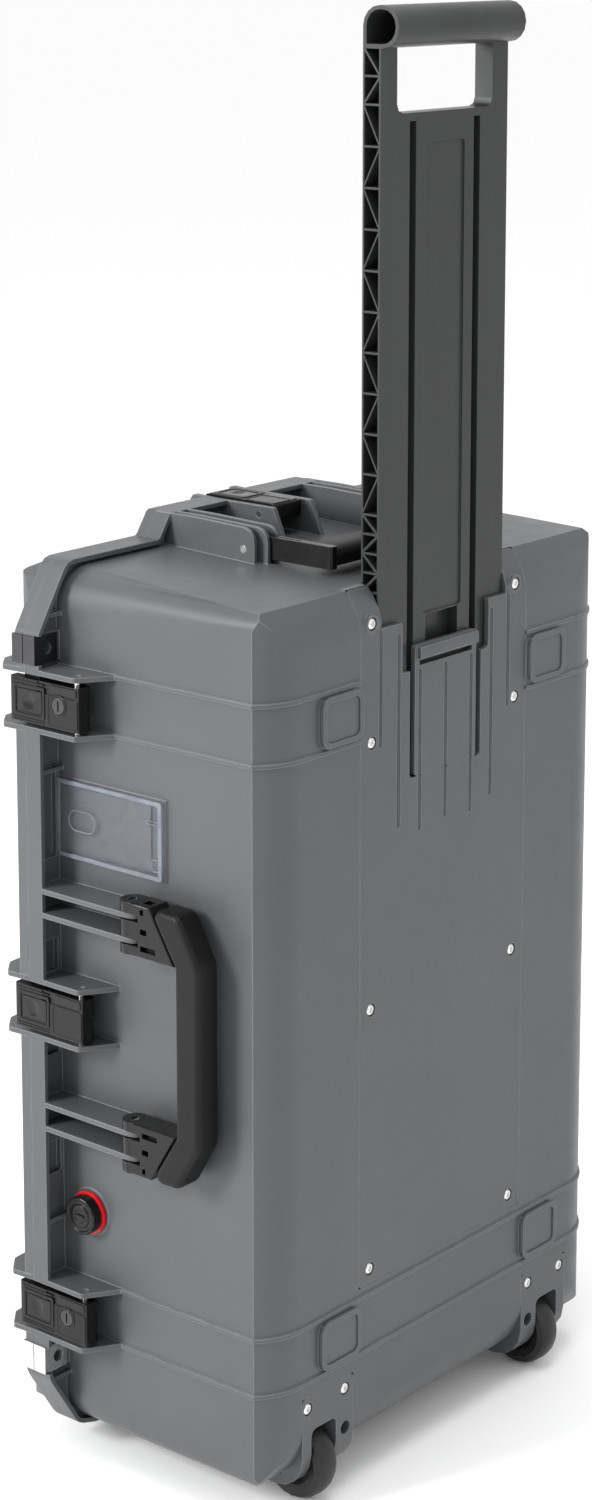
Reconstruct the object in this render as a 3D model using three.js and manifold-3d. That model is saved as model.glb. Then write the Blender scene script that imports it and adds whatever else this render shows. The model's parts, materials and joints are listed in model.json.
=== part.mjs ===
// Wheeled hard equipment case, standing upright on its wheels and front feet.
// Millimetres, +Z up. Working axes: X across the case (+X is the latch side), Y through its depth
// (Y = 0 is the back plane, the lid is at -Y), Z = 0 is the floor. The whole group is moved at the end
// so that the origin is the bottom centre of its bounding box.
import * as THREE from 'three';
import { mergeVertices } from 'three/addons/utils/BufferGeometryUtils.js';
import Module from 'manifold-3d';

const wasm = await Module();
wasm.setup();

// ---------- driving dimensions ----------
const GAP = 0.4; // clearance between pieces that touch
const PIN_GAP = 0.25; // radial clearance of a pin in its hole
const WALL = 3.6; // moulded wall

const CASE_HALF = 211; // half width of the base at the parting plane
const CASE_HALF_BACK = CASE_HALF - 2; // half width at the back crease
const CASE_TOP = 714;
const CASE_TOP_BACK = CASE_TOP - 8;
const CASE_BOTTOM = 22;
const CASE_BOTTOM_BACK = CASE_BOTTOM + 12;
const CASE_CORNER = 30;
const BASE_DEPTH = 216.3; // back plane to the base's parting face
const BACK_ARC = 50; // radius that blends the back plane into the sides
const BACK_ARC_ANGLE = THREE.MathUtils.degToRad(46);
const LID_DEPTH = 50;
const LID_ARC = 38;

const FLANGE_HALF = CASE_HALF + 27;
const FLANGE_TOP = CASE_TOP + 6;
const FLANGE_RAISED_TOP = CASE_TOP + 25;
const FLANGE_RAISED_HALF = 91;
const FLANGE_RAISED_SLOPE = 13;
const FLANGE_SIDE_TOP = CASE_TOP - 46;
const FLANGE_SIDE_BOTTOM = CASE_BOTTOM + 50;
const FLANGE_BOTTOM = CASE_BOTTOM - 6;
const FLANGE_CHAMFER = 32;
const FLANGE_PLATE = 7.5;
const FLANGE_SKIRT = 15;
const LID_SKIRT = 9.5;
const SKIRT_WALL = 3.6;

const RIB = 4; // thickness of a moulded rib
const RIB_END_Y = 51.3 - BASE_DEPTH; // where a latch rib starts to slope back to the wall
const RIB_WALL_Y = RIB_END_Y + 18;
const LATCH_RIB_HALF = 22.5; // half distance between a latch's two ribs
const LATCH_Z = [CASE_TOP - 97.5, (CASE_TOP + CASE_BOTTOM) / 2 + 6, CASE_BOTTOM + 107.5];
const KEYED = [true, false, true];
const BEAD = 1.5;
const BEAD_HALF = 1.6;

const LATCH_HALF = 17;
const LATCH_PIVOT_Y = 48.3 - BASE_DEPTH;
const LATCH_PIVOT_DROP = 7; // pivot below the flange's outer face
const LATCH_PROUD = 1; // latch face above the flange's outer face
const LATCH_LID_REACH = 63;
const LATCH_TAIL = 8.5;
const LATCH_PIN_R = 2.5;
const LATCH_NOTCH = 8.5; // depth of the flange notch under a latch
const BUTTON_LENGTH = 26;
const BUTTON_HALF = 9;
const BUTTON_EDGE = 8; // lid end of the latch to the button
const KEY_R = 6.3;
const KEY_U = -12; // key cylinder's centre in the latch's own frame
const KEY_V = 1;

const HANDLE_PIN_R = 3;
const FRONT_HANDLE = {
  centreZ: LATCH_Z[1], pivotY: 102.3 - BASE_DEPTH, pivotX: FLANGE_HALF - 9,
  half: 106, armIn: 66, gripIn: 49.5, reach: 73,
  low: -12.5, high: 11, ribs: [76, 95], knuckle: 10.5,
};
const SLEEVE_START = 24; // outer end of the sleeve's slanted edge, from the pivot
const HANDLE_BEND = [21, 36]; // run of the slanted corner along the arm and along the grip
const SLEEVE_WALL = 5.5;
const SLEEVE_EDGE = 4; // rounding of the sleeve's long edges
const TOP_HANDLE = {
  pivotY: 90.3 - BASE_DEPTH, pivotZ: CASE_TOP + 6.5, half: 79.8, armIn: 72.2, gripIn: 48, reach: 78,
  low: -7.5, high: 10, ribs: [], knuckle: 8,
};
const TOP_RIBS = [89.4, 82, 70]; // plate middles, outermost first
const TOP_RIB_ENDS = [11, 18, 18].map((past) => TOP_HANDLE.pivotY + past);

const STRIP_TOP = CASE_TOP_BACK - 31;
const STRIP_LOW_TOP = STRIP_TOP - 39;

const BEAM_HALF = 77.3;
const BEAM_BACK = -21.5;
const BEAM_FRONT = -5;
const GRIP_BOTTOM = CASE_TOP_BACK + 397; // trolley handle pulled right up
const BEAM_BOTTOM = GRIP_BOTTOM - 543;
const GRIP_TOP = GRIP_BOTTOM + 31;
const GRIP_FRONT = 11.5;
const GRIP_R = 15;
const GRIP_WALL = 3;
const GRIP_POCKET = 66;
const WINDOW_HALF = 58;
const WINDOW_BOTTOM = GRIP_BOTTOM - 48;
const TRUSS_DEPTH = 15;
const TRUSS_RIM = 1.5;
const TRUSS_STRUT = 0.8;
const TRUSS_SHORT = 20.6;
const TRUSS_LONG = 30.3;
const TRUSS_END = 14.7;
const GROOVE_IN = 35;
const GROOVE_OUT = 43;
const GROOVE_DEPTH = 6;
const INSET_HALF = 24;
const INSET_BOTTOM = STRIP_TOP + 1;
const INSET_TOP = GRIP_BOTTOM - 70;
const INSET_DEPTH = 1.5;
const CATCH_HALF = 20;
const CATCH_BOTTOM = STRIP_TOP - 35;
const CATCH_DEPTH = 10;

const SLIDE_GAP = 0.6;
const CHANNEL_BOTTOM = 128;
const PANEL_T = 4.2;
const PANEL_HALF = 103.2;
const PANEL_BOTTOM = 159.7;
const PANEL_TOP = CASE_TOP_BACK - GAP;
const STRIP_HALF = 54;
const SLOT_OUT = 44.6;
const TONGUE_HALF = 38.2;
const TONGUE_BOTTOM = STRIP_TOP - 123;
const TONGUE_TOP = TONGUE_BOTTOM + 102.5;
const LIP_HEIGHT = 11;
const LIP_PROUD = 4;
const SLIT_HEIGHT = 4;
const SCREW_X = 89.7;
const SCREW_ROWS = [
  CASE_TOP_BACK - 25.3, CASE_TOP_BACK - 116.4, LATCH_Z[1] + 6.7, PANEL_BOTTOM + 12,
];
const SCREW_HEAD_R = 4.6;
const SCREW_HEAD = 2.3;
const SCREW_SHANK_R = 1.9;
const SCREW_LENGTH = 13;
const SCREW_SINK = 2.8;
const FLUTE_DEPTH = 1.4;
const FLUTE_HALF = 2;

const WHEEL_X = 145;
const WHEEL_Y = -24;
const WHEEL_R = 31;
const WHEEL_HALF = 12;
const HUB_R = 18;
const AXLE_R = 4;
const BRACKET_IN = 109.7;
const BRACKET_OUT = 170.3;
const BRACKET_TOP = 94.3;
const BRACKET_BOTTOM = 18;
const BRACKET_DEPTH = 60;
const BRACKET_ARC = 28;
const WHEEL_SLOT_SIDE = 2.8;
const WHEEL_SLOT_TOP = 66;
const BRACKET_SCREWS = [163.4, 119.3];
const BRACKET_SCREW_Z = 84.5;

const PAD_IN = 104.6;
const PAD_OUT = 152;
const PAD_HEIGHT = 39;
const PAD_PROUD = 3;
const PAD_CORNER = 8;

const HINGE_X = -FLANGE_HALF - 6.5;
const HINGE_R = 6;
const HINGE_PIN_R = 2.5;
const HINGE_Z = [CASE_TOP - 154, CASE_BOTTOM + 158];
const KNUCKLE = 18;
const KNUCKLES = 3;

const PARTING = -BASE_DEPTH;
const LID_FACE = PARTING - GAP;

// ---------- solids ----------
const WELD = 1e-4;
const CORNER_STEPS = 5;
const ARC_STEPS = 2; // a drawn arc is split in twice this many steps

function toSolid(geometry) {
  const bare = geometry.clone();
  bare.deleteAttribute('normal');
  bare.deleteAttribute('uv');
  const merged = mergeVertices(bare, WELD);
  const mesh = new wasm.Mesh({
    numProp: 3,
    vertProperties: new Float32Array(merged.attributes.position.array),
    triVerts: new Uint32Array(merged.index.array),
  });
  return new wasm.Manifold(mesh);
}

function toGeometry(solid) {
  const mesh = solid.getMesh();
  const geometry = new THREE.BufferGeometry();
  geometry.setAttribute('position', new THREE.BufferAttribute(new Float32Array(mesh.vertProperties), 3));
  geometry.setIndex(new THREE.BufferAttribute(new Uint32Array(mesh.triVerts), 1));
  geometry.computeVertexNormals();
  return geometry;
}

const join = (...solids) => solids.flat().reduce((sum, next) => sum.add(next));
const cut = (solid, ...tools) => tools.flat().reduce((left, tool) => left.subtract(tool), solid);

// A closed outline from corners [u, v, radius], counter-clockwise, each corner rounded in equal steps.
function outline(corners, steps) {
  const count = corners.length;
  const points = corners.flatMap(([u, v, radius = 0], i) => {
    const here = new THREE.Vector2(u, v);
    if (radius === 0) return [here];
    const [bu, bv] = corners[(i + count - 1) % count];
    const [au, av] = corners[(i + 1) % count];
    const into = here.clone().sub(new THREE.Vector2(bu, bv)).normalize();
    const away = new THREE.Vector2(au, av).sub(here).normalize();
    const turn = Math.atan2(into.cross(away), into.dot(away));
    const side = Math.sign(turn);
    const start = here.clone().addScaledVector(into, -radius * Math.tan(Math.abs(turn) / 2));
    const centre = start.clone().add(new THREE.Vector2(-into.y, into.x).multiplyScalar(radius * side));
    return Array.from({ length: steps + 1 }, (_, k) => {
      return start.clone().rotateAround(centre, (turn * k) / steps);
    });
  });
  return new THREE.Shape(points);
}

// The same corners with every edge moved outwards by grow.
function offset(corners, grow) {
  const count = corners.length;
  return corners.map(([u, v, radius = 0], i) => {
    const here = new THREE.Vector2(u, v);
    const [bu, bv] = corners[(i + count - 1) % count];
    const [au, av] = corners[(i + 1) % count];
    const into = here.clone().sub(new THREE.Vector2(bu, bv)).normalize();
    const away = new THREE.Vector2(au, av).sub(here).normalize();
    const turn = Math.atan2(into.cross(away), into.dot(away));
    const normal = new THREE.Vector2(into.y + away.y, -into.x - away.x).normalize();
    const moved = here.addScaledVector(normal, grow / Math.cos(turn / 2));
    const round = radius === 0 ? 0 : Math.max(radius + grow * Math.sign(turn), 1);
    return [moved.x, moved.y, round];
  });
}

function extrusion(shape, depth) {
  return new THREE.ExtrudeGeometry(shape, { depth, bevelEnabled: false, curveSegments: ARC_STEPS });
}

// Outline in (x, y), from z0 to z1.
function alongZ(corners, z0, z1, steps = 3) {
  const geometry = extrusion(outline(corners, steps), z1 - z0);
  geometry.translate(0, 0, z0);
  return toSolid(geometry);
}

// Outline in (x, z), from y0 to y1.
function alongY(corners, y0, y1, steps = 3) {
  const geometry = extrusion(outline(corners, steps), y1 - y0);
  geometry.rotateX(Math.PI / 2);
  geometry.translate(0, y1, 0);
  return toSolid(geometry);
}

// Outline in (y, z), from x0 to x1.
function alongX(corners, x0, x1, steps = 3) {
  const geometry = extrusion(outline(corners, steps), x1 - x0);
  const axes = new THREE.Matrix4();
  axes.makeBasis(new THREE.Vector3(0, 1, 0), new THREE.Vector3(0, 0, 1), new THREE.Vector3(1, 0, 0));
  geometry.applyMatrix4(axes);
  geometry.translate(x0, 0, 0);
  return toSolid(geometry);
}

function box(x0, x1, y0, y1, z0, z1) {
  const geometry = new THREE.BoxGeometry(x1 - x0, y1 - y0, z1 - z0);
  geometry.translate((x0 + x1) / 2, (y0 + y1) / 2, (z0 + z1) / 2);
  return toSolid(geometry);
}

const rect = (u0, u1, v0, v1, radius = 0) => [
  [u0, v0, radius], [u1, v0, radius], [u1, v1, radius], [u0, v1, radius],
];

// A round bar along one axis ('x', 'y' or 'z') from a to b, centred on the other two coordinates.
function bar(axis, radius, a, b, p, q, sides = 12) {
  const geometry = new THREE.CylinderGeometry(radius, radius, b - a, sides);
  geometry.translate(0, (a + b) / 2, 0);
  if (axis === 'x') {
    geometry.rotateZ(-Math.PI / 2);
    geometry.translate(0, p, q);
  } else if (axis === 'z') {
    geometry.rotateX(Math.PI / 2);
    geometry.translate(p, q, 0);
  } else {
    geometry.translate(p, 0, q);
  }
  return toSolid(geometry);
}

// A turned piece: profile [radius, height] round the height axis, laid along X, Y or Z.
function turned(profile, axis, sides) {
  const points = profile.map(([r, h]) => new THREE.Vector2(r, h));
  const geometry = new THREE.LatheGeometry(points, sides);
  if (axis === 'x') geometry.rotateZ(-Math.PI / 2);
  if (axis === 'z') geometry.rotateX(Math.PI / 2);
  const solid = toSolid(geometry);
  return solid.volume() < 0 ? toSolid(flipped(geometry)) : solid;
}

function flipped(geometry) {
  const copy = geometry.clone();
  const index = copy.index.array;
  for (let i = 0; i < index.length; i += 3) {
    [index[i], index[i + 2]] = [index[i + 2], index[i]];
  }
  return copy;
}

// Local frames with u away from the lid, v along the piece and w out of the wall.
const SIDE_AXES = [new THREE.Vector3(0, 1, 0), new THREE.Vector3(0, 0, 1), new THREE.Vector3(1, 0, 0)];
const TOP_AXES = [new THREE.Vector3(0, 1, 0), new THREE.Vector3(-1, 0, 0), new THREE.Vector3(0, 0, 1)];

function place(solid, axes, x, y, z) {
  const matrix = new THREE.Matrix4().makeBasis(...axes);
  matrix.setPosition(x, y, z);
  const geometry = toGeometry(solid);
  geometry.applyMatrix4(matrix);
  return toSolid(geometry);
}

const bothSides = (make) => [make(1), make(-1)];

function span(side, a, b) {
  return side > 0 ? [a, b] : [-b, -a];
}

// ---------- case body ----------
function arcInset(radius) {
  return radius * Math.sin(BACK_ARC_ANGLE);
}

// The base's outer form, grown by a margin all round except at its parting face.
function baseForm(grow, front0) {
  const half = CASE_HALF + grow;
  const halfBack = CASE_HALF_BACK + grow;
  const arc = BACK_ARC + grow;
  const flat = CASE_HALF_BACK - arcInset(BACK_ARC);
  const creaseY = -BACK_ARC + arc * Math.cos(BACK_ARC_ANGLE);
  const plan = new THREE.Shape();
  plan.moveTo(-half, front0);
  plan.lineTo(half, front0);
  plan.lineTo(halfBack, creaseY);
  plan.absarc(flat, -BACK_ARC, arc, Math.PI / 2 - BACK_ARC_ANGLE, Math.PI / 2, false);
  plan.absarc(-flat, -BACK_ARC, arc, Math.PI / 2, Math.PI / 2 + BACK_ARC_ANGLE, false);
  plan.lineTo(-halfBack, creaseY);
  plan.closePath();
  const low = CASE_BOTTOM - grow;
  const lowBack = CASE_BOTTOM_BACK - grow;
  const top = CASE_TOP + grow;
  const topBack = CASE_TOP_BACK + grow;
  const lowCentre = CASE_BOTTOM_BACK + arcInset(BACK_ARC);
  const topCentre = CASE_TOP_BACK - arcInset(BACK_ARC);
  const side = new THREE.Shape();
  side.moveTo(front0, low);
  side.lineTo(creaseY, lowBack);
  side.absarc(-BACK_ARC, lowCentre, arc, -BACK_ARC_ANGLE, 0, false);
  side.absarc(-BACK_ARC, topCentre, arc, 0, BACK_ARC_ANGLE, false);
  side.lineTo(creaseY, topBack);
  side.lineTo(front0, top);
  side.closePath();
  const upright = extrusion(plan, top - low + 2);
  upright.translate(0, 0, low - 1);
  const across = extrusion(side, 2 * half + 2);
  const axes = new THREE.Matrix4().makeBasis(...SIDE_AXES);
  across.applyMatrix4(axes);
  across.translate(-half - 1, 0, 0);
  const corner = CASE_CORNER + grow;
  const through = alongY(rect(-half, half, low, top, corner), front0 - 1, grow + 1, CORNER_STEPS);
  return toSolid(upright).intersect(toSolid(across)).intersect(through);
}

// The lid's outer form, from its parting face forwards.
function lidForm(grow, back) {
  const half = CASE_HALF + grow;
  const arc = LID_ARC + grow;
  const face = PARTING - LID_DEPTH - grow;
  const corner = CASE_CORNER + grow;
  const plan = alongZ(
    [[-half, face, arc], [half, face, arc], [half, back], [-half, back]],
    CASE_BOTTOM - grow - 1, CASE_TOP + grow + 1, CORNER_STEPS,
  );
  const low = CASE_BOTTOM - grow;
  const top = CASE_TOP + grow;
  const side = alongX(
    [[face, low, arc], [back, low], [back, top], [face, top, arc]],
    -half - 1, half + 1, CORNER_STEPS,
  );
  const through = alongY(rect(-half, half, low, top, corner), face - 1, back + 1, CORNER_STEPS);
  return plan.intersect(side).intersect(through);
}

const FLANGE = [
  [-FLANGE_HALF, FLANGE_SIDE_BOTTOM, 20],
  [-FLANGE_HALF + FLANGE_CHAMFER, FLANGE_BOTTOM + 6, 16],
  [-FLANGE_HALF + FLANGE_CHAMFER + 20, FLANGE_BOTTOM, 10],
  [FLANGE_HALF - FLANGE_CHAMFER - 20, FLANGE_BOTTOM, 10],
  [FLANGE_HALF - FLANGE_CHAMFER, FLANGE_BOTTOM + 6, 16],
  [FLANGE_HALF, FLANGE_SIDE_BOTTOM, 20],
  [FLANGE_HALF, FLANGE_SIDE_TOP, 12],
  [FLANGE_HALF - FLANGE_CHAMFER, FLANGE_TOP, 12],
  [FLANGE_RAISED_HALF + FLANGE_RAISED_SLOPE, FLANGE_TOP, 4],
  [FLANGE_RAISED_HALF, FLANGE_RAISED_TOP, 4],
  [-FLANGE_RAISED_HALF, FLANGE_RAISED_TOP, 4],
  [-FLANGE_RAISED_HALF - FLANGE_RAISED_SLOPE, FLANGE_TOP, 4],
  [-FLANGE_HALF + FLANGE_CHAMFER, FLANGE_TOP, 12],
  [-FLANGE_HALF, FLANGE_SIDE_TOP, 12],
];

function flange(face, plateEnd, skirtEnd) {
  const [y0, y1] = [Math.min(face, skirtEnd), Math.max(face, skirtEnd)];
  const rim = alongY(FLANGE, y0, y1, 2);
  const [p0, p1] = plateEnd > face ? [plateEnd, y1 + 1] : [y0 - 1, plateEnd];
  return rim.subtract(alongY(offset(FLANGE, -SKIRT_WALL), p0, p1, 2));
}

// Notches in the flange under each latch, cut past both faces.
function latchNotches(y0, y1) {
  const half = LATCH_RIB_HALF - RIB / 2;
  const side = LATCH_Z.map((z) => box(
    FLANGE_HALF - LATCH_NOTCH, FLANGE_HALF + 2, y0, y1, z - half, z + half,
  ));
  const top = box(-half, half, y0, y1, FLANGE_RAISED_TOP - LATCH_NOTCH, FLANGE_RAISED_TOP + 2);
  return [...side, top];
}

function latchRibs() {
  const plan = [
    [CASE_HALF_BACK - 2, PARTING], [FLANGE_HALF, PARTING], [FLANGE_HALF, RIB_END_Y, 3],
    [CASE_HALF_BACK - 2, RIB_WALL_Y + 2],
  ];
  const ribs = LATCH_Z.flatMap((z) => bothSides((side) => {
    const middle = z + side * LATCH_RIB_HALF;
    return alongZ(plan, middle - RIB / 2, middle + RIB / 2, 2);
  }));
  const profile = [
    [PARTING, CASE_TOP - 8], [RIB_WALL_Y + 8, CASE_TOP - 8], [RIB_END_Y + 12, FLANGE_RAISED_TOP, 3],
    [PARTING, FLANGE_RAISED_TOP],
  ];
  const top = bothSides((side) => {
    const middle = side * LATCH_RIB_HALF;
    return alongX(profile, middle - RIB / 2, middle + RIB / 2, 2);
  });
  return [...ribs, ...top];
}

function handleRibs() {
  const { pivotX, pivotY, knuckle, centreZ, ribs } = FRONT_HANDLE;
  const plan = [
    [CASE_HALF_BACK - 2, PARTING], [FLANGE_HALF, PARTING],
    [FLANGE_HALF, pivotY + knuckle, knuckle], [CASE_HALF_BACK - 2, pivotY + knuckle],
  ];
  const front = ribs.flatMap((v) => bothSides((side) => {
    const middle = centreZ + side * v;
    return alongZ(plan, middle - RIB / 2, middle + RIB / 2, 3);
  }));
  const thin = RIB / 2 - 0.5;
  const top = TOP_RIBS.flatMap((v, i) => {
    const end = TOP_RIB_ENDS[i];
    const profile = [
      [PARTING, CASE_TOP - 8], [end, CASE_TOP - 8], [end, FLANGE_RAISED_TOP - 2, 11],
      [PARTING + 40, FLANGE_RAISED_TOP], [PARTING, FLANGE_RAISED_TOP],
    ];
    return bothSides((side) => alongX(profile, side * v - thin, side * v + thin, 3));
  });
  return [...front, ...top];
}

function beads() {
  const form = baseForm(BEAD, PARTING + FLANGE_SKIRT);
  const levels = [LATCH_Z[0], LATCH_Z[2]].flatMap((z) => bothSides((side) => z + side * LATCH_RIB_HALF));
  return levels.map((z) => form.intersect(box(-300, 300, -300, 50, z - BEAD_HALF, z + BEAD_HALF)));
}

function pads() {
  const rows = [LATCH_Z[0], LATCH_Z[2]];
  return rows.flatMap((z) => bothSides((side) => {
    const [a, b] = span(side, PAD_IN, PAD_OUT);
    const face = rect(a, b, z - PAD_HEIGHT / 2, z + PAD_HEIGHT / 2, PAD_CORNER);
    return alongY(face, -PANEL_T, PAD_PROUD, 2);
  }));
}

function feet() {
  const profile = [
    [PARTING, 0, 3], [PARTING + 44, 0, 8], [PARTING + 52, CASE_BOTTOM + 5], [PARTING, CASE_BOTTOM + 5],
  ];
  return bothSides((side) => {
    const [a, b] = span(side, 66, 148);
    return alongX(profile, a, b, 2);
  });
}

function gussets() {
  const depth = PARTING + FLANGE_SKIRT - 2;
  const ribs = [FLANGE_SIDE_TOP + 12, FLANGE_SIDE_BOTTOM - 4, CASE_TOP - 154, CASE_BOTTOM + 178];
  return ribs.flatMap((z) => bothSides((side) => {
    const [a, b] = span(side, CASE_HALF - 4, FLANGE_HALF - (z > 600 ? 12 : 4));
    return box(a, b, PARTING + 1, depth, z - 1.5, z + 1.5);
  }));
}

function lockBlocks(y0, y1) {
  return LOCK_Z.map((z) => box(CASE_HALF - 4, FLANGE_HALF - 1, y0, y1, z - LOCK_HALF, z + LOCK_HALF));
}

// Room behind each padlock plate, cut through the flange's skirt.
function lockNotches() {
  const half = LOCK_PLATE_HALF + GAP;
  return LOCK_Z.map((z) => box(
    CASE_HALF + 3, FLANGE_HALF + 2, LOCK_PLATE_Y - GAP, PARTING + FLANGE_SKIRT + 1, z - half, z + half,
  ));
}

const LOCK_PLATE_HALF = 11;
const LOCK_Z = [FLANGE_SIDE_TOP - 12.5, FLANGE_SIDE_BOTTOM + 14.5];
const LOCK_HALF = 11.5;
const LOCK_X = FLANGE_HALF - 13;
const LOCK_HOLE_R = 4.8;
const LOCK_SHEET = 1.2;
const LOCK_PLATE_Y = PARTING + 11;

function lockHoles(y0, y1) {
  return LOCK_Z.map((z) => bar('y', LOCK_HOLE_R, y0, y1, LOCK_X, z));
}

// Hinge knuckles along the -X edge; parity 0 belongs to the base and 1 to the lid.
function hingeKnuckles(parity, towards) {
  const solids = [];
  HINGE_Z.forEach((centre) => {
    for (let i = 0; i < KNUCKLES; i += 1) {
      if (i % 2 !== parity) continue;
      const z0 = centre + (i - KNUCKLES / 2) * KNUCKLE + GAP / 2;
      const z1 = z0 + KNUCKLE - GAP;
      const barrel = bar('z', HINGE_R, z0, z1, HINGE_X, PARTING - GAP / 2);
      const [y0, y1] = towards > 0 ? [PARTING, PARTING + HINGE_R] : [LID_FACE - HINGE_R, LID_FACE];
      solids.push(barrel, box(HINGE_X, -FLANGE_HALF + 2, y0, y1, z0, z1));
    }
  });
  return solids;
}

function hingeHoles() {
  return HINGE_Z.map((z) => bar(
    'z', HINGE_PIN_R + PIN_GAP, z - KNUCKLE * 2, z + KNUCKLE * 2, HINGE_X, PARTING - GAP / 2,
  ));
}

const CHANNEL_HALF = BEAM_HALF + SLIDE_GAP;
const CHANNEL_BACK = BEAM_BACK - SLIDE_GAP;
const RECESS = PANEL_T + GAP;

// The recess that the back panel sits in, following the arc at the top.
function panelRecess() {
  const shell = baseForm(2, PARTING).subtract(baseForm(-RECESS, PARTING));
  const low = PANEL_BOTTOM - GAP;
  const high = PANEL_TOP + GAP;
  return shell.intersect(box(-PANEL_HALF - GAP, PANEL_HALF + GAP, -22, 10, low, high));
}

function panelScrewSpots() {
  return SCREW_ROWS.flatMap((z) => bothSides((side) => [side * SCREW_X, z]));
}

function wheelPocket(side, grow) {
  const [a, b] = span(side, BRACKET_IN - grow, BRACKET_OUT + grow);
  return box(a, b, -BRACKET_DEPTH - grow, 2, -2, BRACKET_TOP + grow);
}

const CARD = {
  y0: 9.3 - BASE_DEPTH, y1: 117.3 - BASE_DEPTH, z0: LATCH_Z[1] + 117.5, z1: LATCH_Z[1] + 178.5,
  seat: CASE_HALF + 0.2,
};
const VALVE = {
  y: 36.3 - BASE_DEPTH, z: LATCH_Z[2] + 79, seat: CASE_HALF + 0.2, capR: 15.3, ringR: 17, stemR: 7.6,
};

function baseShell() {
  const skin = baseForm(0, PARTING);
  const whole = join(
    skin,
    beads(),
    flange(PARTING, PARTING + FLANGE_PLATE, PARTING + FLANGE_SKIRT),
    gussets(),
    lockBlocks(PARTING, LOCK_PLATE_Y - GAP),
    pads(),
    feet(),
  );
  const ribbed = join(
    cut(whole, latchNotches(PARTING - 1, PARTING + FLANGE_SKIRT + 1), lockNotches()),
    latchRibs(),
    handleRibs(),
    hingeKnuckles(0, 1),
    box(CASE_HALF_BACK - 2, CARD.seat, CARD.y0 - 1, CARD.y1 + 1, CARD.z0 - 1, CARD.z1 + 1),
    bar('x', VALVE.ringR + 2, CASE_HALF_BACK - 2, VALVE.seat, VALVE.y, VALVE.z, 20),
  );
  const hollow = cut(ribbed, baseForm(-WALL, PARTING - 5));
  const channelWall = box(
    -CHANNEL_HALF - WALL, CHANNEL_HALF + WALL, CHANNEL_BACK - WALL, 0,
    CHANNEL_BOTTOM - WALL, CASE_TOP + 10,
  );
  const recessWall = box(
    -PANEL_HALF - WALL, PANEL_HALF + WALL, -RECESS - WALL, 0, PANEL_BOTTOM - 2 * WALL, CASE_TOP + 10,
  );
  const archWall = box(
    -PANEL_HALF - WALL, PANEL_HALF + WALL, -26, 0, CASE_TOP_BACK - BACK_ARC, CASE_TOP + 10,
  );
  const bosses = panelScrewSpots().map(([x, z]) => bar('y', 5, -18, -RECESS, x, z, 8));
  const wells = bothSides((side) => wheelPocket(side, WALL + GAP));
  const lining = join(channelWall, recessWall, archWall, bosses, wells).intersect(skin);
  const lined = join(hollow, lining);
  const channel = join(
    box(-CHANNEL_HALF, CHANNEL_HALF, CHANNEL_BACK, -RECESS + 0.5, CHANNEL_BOTTOM, CASE_TOP + 5),
    box(-CHANNEL_HALF, CHANNEL_HALF, CHANNEL_BACK, 5, STRIP_TOP, CASE_TOP + 5),
  );
  const screwHoles = panelScrewSpots().map(([x, z]) => bar(
    'y', SCREW_SHANK_R + PIN_GAP, -SCREW_LENGTH - 3, 2, x, z, 8,
  ));
  const bracketHoles = BRACKET_SCREWS.flatMap((x) => bothSides((side) => bar(
    'z', SCREW_SHANK_R + PIN_GAP, BRACKET_TOP - 2, BRACKET_TOP + 2, side * x, -200, 12,
  )));
  return cut(
    lined,
    channel,
    panelRecess(),
    bothSides((side) => wheelPocket(side, GAP)),
    screwHoles,
    bracketHoles,
    pinHoles(),
    lockHoles(PARTING - 2, LOCK_PLATE_Y + 5),
    hingeHoles(),
    bar('x', VALVE.stemR + PIN_GAP, CASE_HALF_BACK - 20, CASE_HALF + 10, VALVE.y, VALVE.z, 12),
    webPockets(),
  );
}

// Core-outs that show as dark slots in the flange's web on the latch side.
function webPockets() {
  const spans = [[116, 190], [26, 51], [-41, -26], [-138, -112]];
  return spans.map(([v0, v1]) => [LATCH_Z[1] + v0, LATCH_Z[1] + v1]).map(([z0, z1]) => box(
    CASE_HALF + 3, FLANGE_HALF - SKIRT_WALL - 6, PARTING + 3, PARTING + FLANGE_PLATE + 2, z0, z1,
  ));
}

function pinHoles() {
  const latchR = LATCH_PIN_R + PIN_GAP;
  const handleR = HANDLE_PIN_R + PIN_GAP;
  const reach = LATCH_RIB_HALF + RIB;
  const sideX = FLANGE_HALF - LATCH_PIVOT_DROP;
  const topZ = FLANGE_RAISED_TOP - LATCH_PIVOT_DROP;
  const { pivotX, pivotY, centreZ, half } = FRONT_HANDLE;
  return [
    ...LATCH_Z.map((z) => bar('z', latchR, z - reach, z + reach, sideX, LATCH_PIVOT_Y)),
    bar('x', latchR, -reach, reach, LATCH_PIVOT_Y, topZ),
    bar('z', handleR, centreZ - half, centreZ + half, pivotX, pivotY),
    bar('x', handleR, -TOP_RIBS[0] - 3, TOP_RIBS[0] + 3, TOP_HANDLE.pivotY, TOP_HANDLE.pivotZ),
  ];
}

// ---------- lid ----------
const SEAL_OUT = 1.5;
const SEAL_IN = -2.5;
const SEAL_HEIGHT = 3;

function sealRing(play, y0, y1) {
  const loop = (grow) => rect(
    -CASE_HALF - grow, CASE_HALF + grow, CASE_BOTTOM - grow, CASE_TOP + grow, CASE_CORNER + grow,
  );
  const outer = alongY(loop(SEAL_OUT + play), y0, y1, 2);
  return outer.subtract(alongY(loop(SEAL_IN - play), y0 - 1, y1 + 1, 2));
}

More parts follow.
